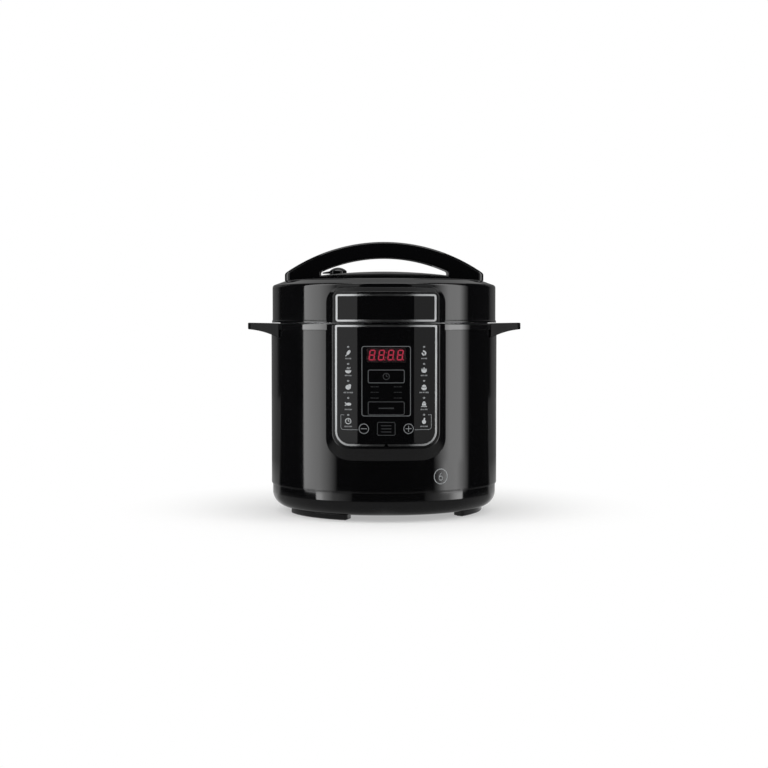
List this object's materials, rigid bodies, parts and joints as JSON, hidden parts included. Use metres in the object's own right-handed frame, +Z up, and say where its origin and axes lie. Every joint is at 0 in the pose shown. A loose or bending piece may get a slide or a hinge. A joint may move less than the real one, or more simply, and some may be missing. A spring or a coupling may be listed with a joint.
{
  "type": "electric pressure cooker",
  "caption": "Round electric pressure cooker with a twist-off domed lid, arched lid handle, side handles, front control panel with keys, inner pot, float and release valves.",
  "frame": {"origin": "on the pot's axis, at the floor under the feet", "axes": "+Z up, -Y towards the control panel, +X to the right seen from the front"},
  "size_m": [0.3394, 0.3054, 0.3354],
  "materials": {
    "black_gloss": "gloss moulded plastic",
    "black_enamel": "gloss black enamel on sheet steel",
    "black_plastic": "satin black plastic",
    "fascia": "gloss black control face",
    "lens": "smoked display window",
    "keys": "gloss black keys",
    "trim": "bright line",
    "steel": "stainless steel",
    "cast": "cast aluminium",
    "pot": "non-stick coated aluminium",
    "silicone": "white silicone",
    "rubber": "black rubber",
    "board": "circuit board",
    "parts": "electrical parts",
    "brass": "plated contacts",
    "clear": "clear smoky plastic"
  },
  "bodies": {
    "cooker_body": {"base_shell": "black_gloss", "bottom_cover": "black_plastic", "cover_screws": "steel", "foot_left": "black_gloss", "foot_right": "black_gloss", "foot_rear": "black_gloss", "foot_pads": "rubber", "body_sleeve": "black_enamel", "top_ring": "black_gloss", "side_handle_left": "black_gloss", "side_handle_right": "black_gloss", "outer_pot": "steel", "flange_bolts": "steel", "heating_plate": "cast", "heating_element": "steel", "sensor_cup": "steel", "sensor_spring": "steel", "power_board": "board", "power_board_screws": "steel", "transformer": "parts", "relay": "parts", "pressure_switch": "parts", "thermal_fuse": "parts", "power_inlet": "black_plastic", "inlet_pins": "brass", "cup_holder": "black_plastic", "panel_bezel": "black_gloss", "panel_trim": "trim", "control_fascia": "fascia", "display_lens": "lens", "led_display": "parts", "display_board": "board", "board_screws": "steel", "key_switches": "parts"},
    "pot": {"inner_pot": "pot"},
    "sensor": {"sensor_cap": "cast"},
    "seal": {"sealing_ring": "silicone", "seal_carrier": "steel"},
    "lid": {"lid_cover": "black_gloss", "lid_dome": "black_gloss", "lid_plate": "steel", "lid_screws": "steel", "lid_handle": "black_gloss", "handle_grip": "black_plastic", "handle_screws": "steel", "vent_pipe": "steel", "vent_shield": "steel", "lid_block": "black_gloss", "plate_trim": "trim", "name_plate": "black_gloss"},
    "valve": {"valve_weight": "black_plastic"},
    "float": {"float_pin": "steel", "float_seal": "silicone"},
    "cup": {"condensate_cup": "clear"},
    "key_upper": {"key_upper": "keys"},
    "key_lower": {"key_lower": "keys"},
    "key_minus": {"key_minus": "keys"},
    "key_plus": {"key_plus": "keys"},
    "key_start": {"key_start": "keys"}
  },
  "joints": [
    {"name": "lid_lift", "type": "slide", "parent": "cooker_body", "child": "seal", "axis": [0, 0, 1], "range_m": [0, 0.2]},
    {"name": "lid_turn", "type": "hinge", "parent": "seal", "child": "lid", "pos_m": [0, 0, 0.235], "axis": [0, 0, 1], "range_deg": [0, 30]},
    {"name": "pot_turn", "type": "hinge", "parent": "cooker_body", "child": "pot", "pos_m": [0, 0, 0.0758], "axis": [0, 0, 1], "continuous": true},
    {"name": "valve_turn", "type": "hinge", "parent": "lid", "child": "valve", "pos_m": [-0.058, 0.044, 0.2987], "axis": [0, 0, 1], "range_deg": [-45, 0]},
    {"name": "float_rise", "type": "slide", "parent": "lid", "child": "float", "axis": [0, 0, 1], "range_m": [0, 0.005]},
    {"name": "cup_pull", "type": "slide", "parent": "cooker_body", "child": "cup", "axis": [0, 1, 0], "range_m": [0, 0.06]},
    {"name": "sensor_press", "type": "slide", "parent": "cooker_body", "child": "sensor", "axis": [0, 0, -1], "range_m": [0, 0.0025], "stiffness_N_per_m": 600, "springref_m": -0.002, "deforming": ["sensor_spring"]},
    {"name": "key_upper_press", "type": "slide", "parent": "cooker_body", "child": "key_upper", "axis": [0, 1, 0], "range_m": [0, 0.0004], "stiffness_N_per_m": 800},
    {"name": "key_lower_press", "type": "slide", "parent": "cooker_body", "child": "key_lower", "axis": [0, 1, 0], "range_m": [0, 0.0004], "stiffness_N_per_m": 800},
    {"name": "key_start_press", "type": "slide", "parent": "cooker_body", "child": "key_start", "axis": [0, 1, 0], "range_m": [0, 0.0004], "stiffness_N_per_m": 800},
    {"name": "key_minus_press", "type": "slide", "parent": "cooker_body", "child": "key_minus", "axis": [0.1753, 0.9845, 0], "range_m": [0, 0.0004], "stiffness_N_per_m": 800},
    {"name": "key_plus_press", "type": "slide", "parent": "cooker_body", "child": "key_plus", "axis": [-0.1753, 0.9845, 0], "range_m": [0, 0.0004], "stiffness_N_per_m": 800}
  ]
}
